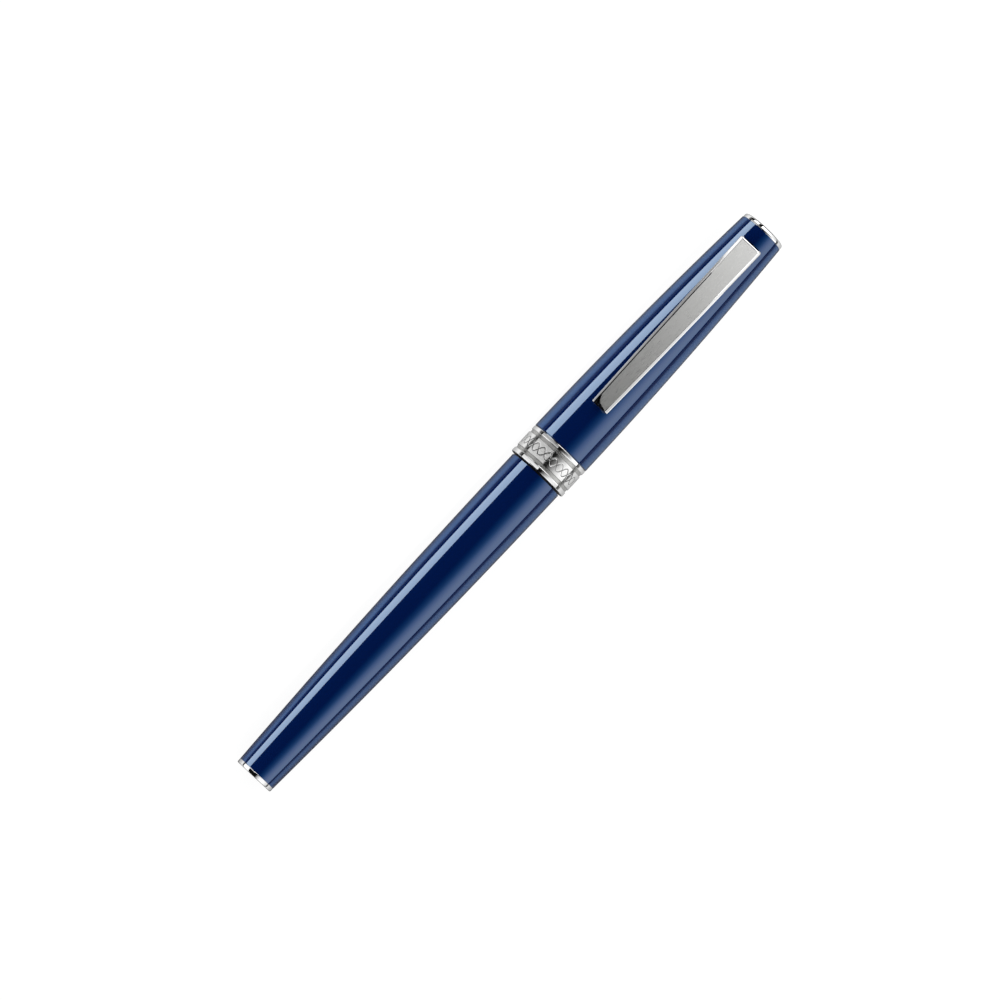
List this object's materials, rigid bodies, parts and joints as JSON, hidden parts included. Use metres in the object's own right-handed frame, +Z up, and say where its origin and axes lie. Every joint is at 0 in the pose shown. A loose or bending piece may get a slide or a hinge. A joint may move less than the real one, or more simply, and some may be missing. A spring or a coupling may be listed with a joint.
{
  "type": "capped rollerball pen",
  "caption": "Slim tapered metal pen in navy lacquer with a pull-off cap, engraved steel band, sprung clip and a screw-in section holding a refill.",
  "frame": {"origin": "under the middle of the pen's length, level with the lowest point of the cap, with the clip on top", "axes": "+X along the pen's axis from the foot of the barrel to the crown of the cap, +Z up through the clip"},
  "size_m": [0.137, 0.0126, 0.0142],
  "materials": {
    "navy_lacquer": "deep navy gloss lacquer over brass",
    "polished_steel": "mirror polished steel",
    "satin_steel": "fine satin brushed steel with polished edges",
    "dark_steel": "darkened steel",
    "spring_steel": "drawn spring steel",
    "brass": "machined brass",
    "nickel_silver": "turned nickel silver",
    "carbide": "polished carbide",
    "satin_black": "satin black moulded grip",
    "black_plastic": "matt black moulded plastic",
    "white_plastic": "white moulded plastic",
    "refill_plastic": "smooth grey-blue plastic tube",
    "ink_fibre": "fibre filled with blue ink",
    "seal_rubber": "black sealing rubber"
  },
  "bodies": {
    "barrel": {"barrel_shell": "navy_lacquer", "barrel_end_ring": "polished_steel", "barrel_end_plug": "polished_steel", "barrel_liner": "black_plastic", "barrel_thread_bush": "brass", "barrel_mouth_ring": "dark_steel"},
    "spring": {"refill_spring": "spring_steel"},
    "refill": {"refill_tube": "refill_plastic", "refill_end_plug": "white_plastic", "refill_reservoir": "ink_fibre", "refill_nose": "white_plastic", "refill_feed_rod": "ink_fibre", "refill_tip": "nickel_silver"},
    "ball": {"tip_ball": "carbide"},
    "section": {"section_thread_insert": "brass", "section_o_ring": "seal_rubber", "section_collar_ring": "polished_steel", "section_grip": "satin_black", "section_nose_cone": "satin_steel"},
    "clutch": {"cap_clutch_ring": "spring_steel"},
    "cap": {"cap_shell": "navy_lacquer", "cap_mouth_bush": "brass", "cap_band_lower_ring": "polished_steel", "cap_band": "satin_steel", "cap_band_upper_ring": "polished_steel", "cap_inner_cap": "black_plastic", "inner_cap_seal": "seal_rubber", "cap_crown_screw": "spring_steel", "cap_crown_ring": "polished_steel", "cap_crown_disc": "navy_lacquer", "clip_carrier": "brass", "clip_pivot_pin": "spring_steel", "clip_spring": "spring_steel"},
    "clip": {"clip_arm": "satin_steel"}
  },
  "joints": [
    {"name": "section_turn", "type": "hinge", "parent": "barrel", "child": "spring", "pos_m": [0, 0, 0.00626], "axis": [1, 0, 0], "range_deg": [0, 2160]},
    {"name": "section_travel", "type": "slide", "parent": "spring", "child": "refill", "axis": [1, 0, 0], "range_m": [0, 0.0045], "deforming": ["refill_spring"]},
    {"name": "section_pull", "type": "slide", "parent": "refill", "child": "section", "axis": [1, 0, 0], "range_m": [0, 0.058]},
    {"name": "cap_turn", "type": "hinge", "parent": "section", "child": "clutch", "pos_m": [0, 0, 0.00626], "axis": [1, 0, 0], "continuous": true},
    {"name": "cap_pull", "type": "slide", "parent": "clutch", "child": "cap", "axis": [1, 0, 0], "range_m": [0, 0.05]},
    {"name": "clip_lift", "type": "hinge", "parent": "cap", "child": "clip", "pos_m": [0.0613, 0, 0.00916], "axis": [0, 1, 0], "range_deg": [0, 4], "stiffness_Nm_per_rad": 1.9, "springref_deg": -3.44, "deforming": ["clip_spring"]},
    {"name": "ball_roll", "type": "hinge", "parent": "refill", "child": "ball", "pos_m": [0.0504, 0, 0.00626], "axis": [0, 1, 0], "continuous": true}
  ],
  "couplings": [
    {"joint": "section_turn", "follows": "section_travel", "rad_per_m": 8377.6}
  ]
}
